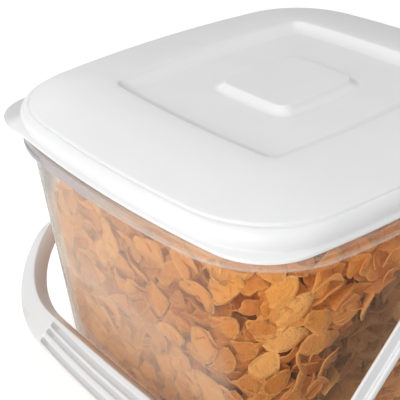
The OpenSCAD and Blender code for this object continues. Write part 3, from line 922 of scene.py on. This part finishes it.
def scatter_tree():
    """Flakes scattered evenly over a surface, each turned and tilted its own way."""
    tree = bpy.data.node_groups.new("scatter flakes", "GeometryNodeTree")
    face = tree.interface
    face.new_socket("Geometry", in_out="INPUT", socket_type="NodeSocketGeometry")
    for label, kind in (("Flakes", "Collection"), ("Spacing", "Float"), ("Depth", "Float"), ("Tilt", "Float"),
                        ("Smallest", "Float"), ("Largest", "Float"), ("Seed", "Int"), ("Finish", "Material")):
        face.new_socket(label, in_out="INPUT", socket_type=f"NodeSocket{kind}")
    face.new_socket("Geometry", in_out="OUTPUT", socket_type="NodeSocketGeometry")
    g = Nodes(tree)
    src = g.make("NodeGroupInput").outputs
    seed = src["Seed"]

    def negative(value):
        return g.make("ShaderNodeMath", {"operation": "MULTIPLY"}, {0: value, 1: -1.0}).outputs[0]

    def random_value(low, high):
        node = g.make("FunctionNodeRandomValue", {"data_type": "FLOAT"}, {2: low, 3: high, "Seed": seed})
        return node.outputs[1]

    spread = g.make("GeometryNodeDistributePointsOnFaces", {"distribute_method": "POISSON"},
                    {"Mesh": src["Geometry"], "Distance Min": src["Spacing"], "Density Max": 60000.0,
                     "Seed": seed})
    kinds = g.make("GeometryNodeCollectionInfo", None,
                   {"Collection": src["Flakes"], "Separate Children": True, "Reset Children": True})
    less = negative(src["Tilt"])
    low = g.make("ShaderNodeCombineXYZ", None, {0: less, 1: less, 2: 0.0})
    high = g.make("ShaderNodeCombineXYZ", None, {0: src["Tilt"], 1: src["Tilt"], 2: 6.2832})
    turn = g.make("FunctionNodeRandomValue", {"data_type": "FLOAT_VECTOR"},
                  {0: low.outputs[0], 1: high.outputs[0], "Seed": seed})
    tip = g.make("FunctionNodeEulerToRotation", None, {0: turn.outputs[0]})
    pose = g.make("FunctionNodeRotateRotation", {"rotation_space": "LOCAL"},
                  {0: spread.outputs["Rotation"], 1: tip.outputs[0]})
    size = random_value(src["Smallest"], src["Largest"])
    sunk = random_value(negative(src["Depth"]), 0.0)
    inward = g.make("ShaderNodeVectorMath", {"operation": "SCALE"},
                    {0: spread.outputs["Normal"], "Scale": sunk})
    placed = g.make("GeometryNodeSetPosition", None,
                    {"Geometry": spread.outputs["Points"], "Offset": inward.outputs[0]})
    put = g.make("GeometryNodeInstanceOnPoints", None,
                 {"Points": placed.outputs[0], "Instance": kinds.outputs[0], "Pick Instance": True,
                  "Rotation": pose.outputs[0], "Scale": size})
    mark = g.make("GeometryNodeStoreNamedAttribute", {"data_type": "FLOAT", "domain": "INSTANCE"},
                  {"Geometry": put.outputs[0], "Name": "tone", "Value": random_value(0.0, 1.0)})
    real = g.make("GeometryNodeRealizeInstances", None, {0: mark.outputs[0]})
    paint = g.make("GeometryNodeSetMaterial", None, {"Geometry": real.outputs[0], "Material": src["Finish"]})
    g.make("NodeGroupOutput", None, {0: paint.outputs[0]})
    return tree


def press_inside(mesh, margin, give):
    """Ease points that would come through the tub's wall or floor back inside, in their order of depth."""
    n = len(mesh.vertices)
    co = np.empty(n * 3)
    mesh.vertices.foreach_get("co", co)
    p = co.reshape(n, 3) / MM
    z = np.clip(p[:, 2], FLOOR_T + 0.6, SEAT + 6)
    # The wall's inner face at each height is a bowed rectangle, drawn in at the rounded foot
    i = wall_at(z) + WALL_T + np.maximum(0, FOOT_R - z) * 0.8
    rc = RIM_RC - WALL_RCD - i
    x, y = np.abs(p[:, 0]), np.abs(p[:, 1])
    qx = x + y * y / (2 * WALL_BOW) - (RIM_X - i - rc)
    qy = y + x * x / (2 * WALL_BOW) - (RIM_Y - i - rc)
    both = (qx > 0) & (qy > 0)
    norm = np.maximum(np.hypot(qx, qy), 1e-9)
    depth = rc - np.where(both, norm, np.maximum(qx, qy))
    gx = np.where(both, qx / norm, (qx > qy).astype(float))
    gy = np.where(both, qy / norm, (qx <= qy).astype(float))
    eased = margin + give * np.logaddexp(0, (depth - margin) / give)
    push = np.where(depth < margin + 6 * give, eased - depth, 0)
    p[:, 0] -= np.sign(p[:, 0]) * gx * push
    p[:, 1] -= np.sign(p[:, 1]) * gy * push
    p[:, 2] = z
    mesh.vertices.foreach_set("co", (p * MM).ravel())
    mesh.update()


class KEEPER_OT_cereal(bpy.types.Operator):
    """Fill the tub with corn flakes"""
    bl_idname = "keeper.cereal"
    bl_label = "Cereal"

    def execute(self, context):
        settings = context.scene.keeper_cereal
        light, toasted = tuple(settings.light), tuple(settings.toasted)
        kinds = bpy.data.collections.new("flake kinds")
        for i in range(FLAKE_KINDS):
            kinds.objects.link(flake(i, settings.size))
        tree = scatter_tree()
        sockets = {s.name: s.identifier for s in tree.interface.items_tree if s.in_out == "INPUT"}
        for k, (name, inset, lower, depth, tilt, apart, painted_layer_shade) in enumerate(FLAKE_LAYERS):
            source = bed(name + "_bed", inset, lower, settings.level)
            scatter = source.modifiers.new("scatter", "NODES")
            scatter.node_group = tree
            values = {"Flakes": kinds, "Spacing": settings.spacing * apart, "Depth": depth, "Tilt": tilt,
                      "Smallest": FLAKE_SCALES[0], "Largest": FLAKE_SCALES[1], "Seed": settings.seed + k,
                      "Finish": toasted_flake(name, light, toasted, painted_layer_shade)}
            for label, value in values.items():
                scatter[sockets[label]] = value
            view = context.evaluated_depsgraph_get()
            mesh = bpy.data.meshes.new_from_object(source.evaluated_get(view))
            bpy.data.objects.remove(source)
            mesh.name = name
            press_inside(mesh, WALL_MARGIN, WALL_GIVE)
            obj = in_scene(name, mesh)
            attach(obj, "tub")
        core = bed("cereal_mass", MASS_INSET, MASS_INSET, settings.level)
        core.data.materials.append(crumb_bed("cereal mass", toasted))
        shade_smooth(core.data)
        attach(core, "tub")
        for obj in list(kinds.objects):
            bpy.data.objects.remove(obj)
        bpy.data.collections.remove(kinds)
        return {"FINISHED"}


# ---------------------------------------------------------------- stage

def lamp(name, place, power, size):
    """A soft square lamp that shines at the keeper."""
    data = bpy.data.lights.new(name, "AREA")
    data.energy, data.size = power, size
    obj = in_scene(name, data)
    obj.location = place
    obj.rotation_euler = (Vector(LAMP_AIM) - Vector(place)).to_track_quat("-Z", "Y").to_euler()


class KEEPER_OT_stage(bpy.types.Operator):
    """Make the floor, the soft studio light and the camera"""
    bl_idname = "keeper.stage"
    bl_label = "Stage"

    def execute(self, context):
        scene = context.scene
        settings = scene.keeper_stage
        bm = bmesh.new()
        stops = [-FLOOR_HALF + 2 * FLOOR_HALF * i / FLOOR_N for i in range(FLOOR_N + 1)]
        grid = [[bm.verts.new((x, y, FLOOR_Z)) for y in stops] for x in stops]
        for a, b in zip(grid, grid[1:]):
            for j in range(FLOOR_N):
                bm.faces.new((a[j], b[j], b[j + 1], a[j + 1]))
        floor = in_scene("studio_floor", mesh_from(bm, "studio_floor"))
        floor.data.materials.append(studio_paper("studio floor"))
        world = bpy.data.worlds.new("studio")
        world.use_nodes = True
        back = world.node_tree.nodes["Background"]
        back.inputs[0].default_value = (1, 1, 1, 1)
        back.inputs[1].default_value = settings.sky
        scene.world = world
        lamp("key", (0.5, -1.4, 0.9), settings.key, 0.9)
        lamp("fill", (-0.35, -1.0, 1.35), settings.fill, 0.8)
        lamp("top", (0.1, 0.1, 1.5), settings.top, 1.1)
        lamp("left", (-1.5, 0.2, 0.8), settings.left, 0.9)
        lamp("right", (1.0, 0.3, 1.4), settings.right, 0.9)
        data = bpy.data.cameras.new("camera")
        data.sensor_width = SENSOR_MM
        data.lens = SENSOR_MM * FOCAL_PIXELS / FRAME_PIXELS
        data.clip_start, data.clip_end = 0.02, 20
        camera = in_scene("camera", data)
        camera.location = CAMERA_PLACE
        camera.rotation_euler = Vector(CAMERA_AIM).to_track_quat("-Z", "Y").to_euler()
        scene.camera = camera
        scene.view_settings.view_transform = "Standard"
        return {"FINISHED"}


# ---------------------------------------------------------------- panel and registration

class KEEPER_PT_panel(bpy.types.Panel):
    """The keeper's pieces and their settings"""
    bl_label = "Food keeper"
    bl_idname = "KEEPER_PT_panel"
    bl_space_type = "VIEW_3D"
    bl_region_type = "UI"
    bl_category = "Keeper"

    def draw(self, context):
        scene = context.scene
        for label, group in STEPS:
            box = self.layout.box()
            box.operator(f"keeper.{label}")
            settings = getattr(scene, f"keeper_{label}")
            for name in group.__annotations__:
                box.prop(settings, name)


STEPS = (("lid", KeeperLid), ("tub", KeeperTub), ("handle", KeeperHandle), ("cereal", KeeperCereal),
         ("stage", KeeperStage))
CLASSES = [group for _, group in STEPS] + [KEEPER_OT_lid, KEEPER_OT_tub, KEEPER_OT_handle, KEEPER_OT_cereal,
                                           KEEPER_OT_stage, KEEPER_PT_panel]


def register():
    for c in CLASSES:
        bpy.utils.register_class(c)
    for label, group in STEPS:
        setattr(bpy.types.Scene, f"keeper_{label}", PointerProperty(type=group))


def unregister():
    for label, _ in STEPS:
        delattr(bpy.types.Scene, f"keeper_{label}")
    for c in reversed(CLASSES):
        bpy.utils.unregister_class(c)


def main():
    register()
    for label, _ in STEPS:
        getattr(bpy.ops.keeper, label)()
    bpy.context.view_layer.update()


if __name__ == "__main__":
    main()
